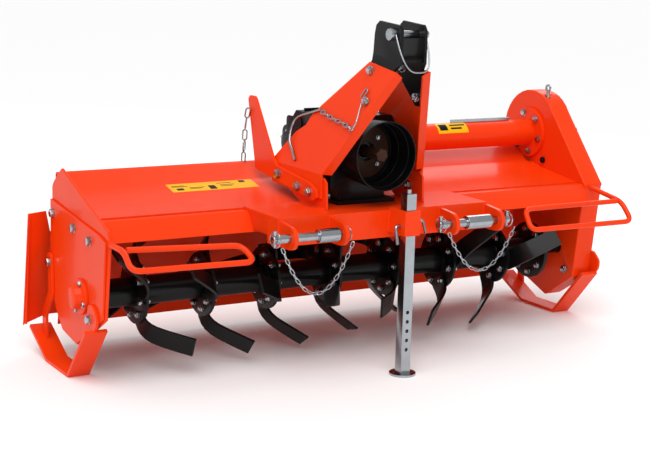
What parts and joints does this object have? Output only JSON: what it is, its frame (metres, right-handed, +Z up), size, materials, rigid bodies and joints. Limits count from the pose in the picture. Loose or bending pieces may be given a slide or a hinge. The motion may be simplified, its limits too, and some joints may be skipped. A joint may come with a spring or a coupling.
{
  "type": "rotary tiller",
  "caption": "Tractor-mounted rotary tiller: a tined rotor under a hood, driven from a central gearbox through a side case, on a three-point hitch with skids and a parking leg.",
  "frame": {"origin": "middle of the bounding box, on the ground", "axes": "+X along the rotor towards the drive case, -Y towards the tractor, +Z up"},
  "size_m": [1.706, 0.7096, 0.934],
  "materials": {
    "orange_paint": "gloss orange powder coat",
    "black_paint": "gloss black",
    "zinc": "bright zinc plate",
    "black_plastic": "matt"
  },
  "bodies": {
    "frame": {"case_plug": "black_plastic", "drive_case": "orange_paint", "drive_case_cover": "orange_paint", "driveline_chain": "zinc", "driveline_hook": "zinc", "driveline_rest": "black_paint", "front_rail": "orange_paint", "gearbox": "black_paint", "guard_left": "orange_paint", "guard_right": "orange_paint", "hitch_beam": "orange_paint", "hood": "orange_paint", "left_bearing_housing": "orange_paint", "left_cover_plate": "orange_paint", "left_end_plate": "orange_paint", "left_skid": "orange_paint", "leg_pin_end": "zinc", "leg_pin_grip": "zinc", "leg_socket": "orange_paint", "lifting_eye": "zinc", "lower_hitch_pin_left": "zinc", "lower_hitch_pin_right": "zinc", "mast_bracket_left": "orange_paint", "mast_bracket_right": "orange_paint", "mast_left": "orange_paint", "mast_right": "orange_paint", "pin_hoop": "zinc", "pto_shield": "black_paint", "rear_arm": "orange_paint", "right_skid": "orange_paint", "shaft_tube": "orange_paint", "tailboard_chain": "zinc", "tether_chain_left": "zinc", "tether_chain_right": "zinc", "top_link_clevis": "black_paint", "top_link_pin": "zinc", "tube_strip": "zinc"},
    "rotor": {"rotor_tube": "black_paint", "rotor_drive_flange": "black_paint", "rotor_flange_1": "black_paint", "rotor_flange_2": "black_paint", "rotor_flange_3": "black_paint", "rotor_flange_4": "black_paint", "rotor_flange_5": "black_paint", "rotor_flange_6": "black_paint", "rotor_flange_7": "black_paint"},
    "pto_shaft": {"pto_input_shaft": "zinc"},
    "tailboard": {"tailboard": "orange_paint"},
    "leg": {"parking_leg": "zinc"}
  },
  "joints": [
    {"name": "rotor_spin", "type": "hinge", "parent": "frame", "child": "rotor", "pos_m": [0.00142, 0.04582, 0.218], "axis": [1, 0, 0], "continuous": true},
    {"name": "pto_input", "type": "hinge", "parent": "frame", "child": "pto_shaft", "pos_m": [-0.03658, 0.04582, 0.579], "axis": [0, 1, 0], "continuous": true},
    {"name": "tailboard_hinge", "type": "hinge", "parent": "frame", "child": "tailboard", "pos_m": [0.00142, 0.28382, 0.468], "axis": [1, 0, 0], "range_deg": [0, 60]},
    {"name": "parking_leg_slide", "type": "slide", "parent": "frame", "child": "leg", "axis": [0, 0, 1], "range_m": [0, 0.2]}
  ],
  "couplings": [
    {"joint": "pto_input", "follows": "rotor_spin", "ratio": -2.6}
  ]
}
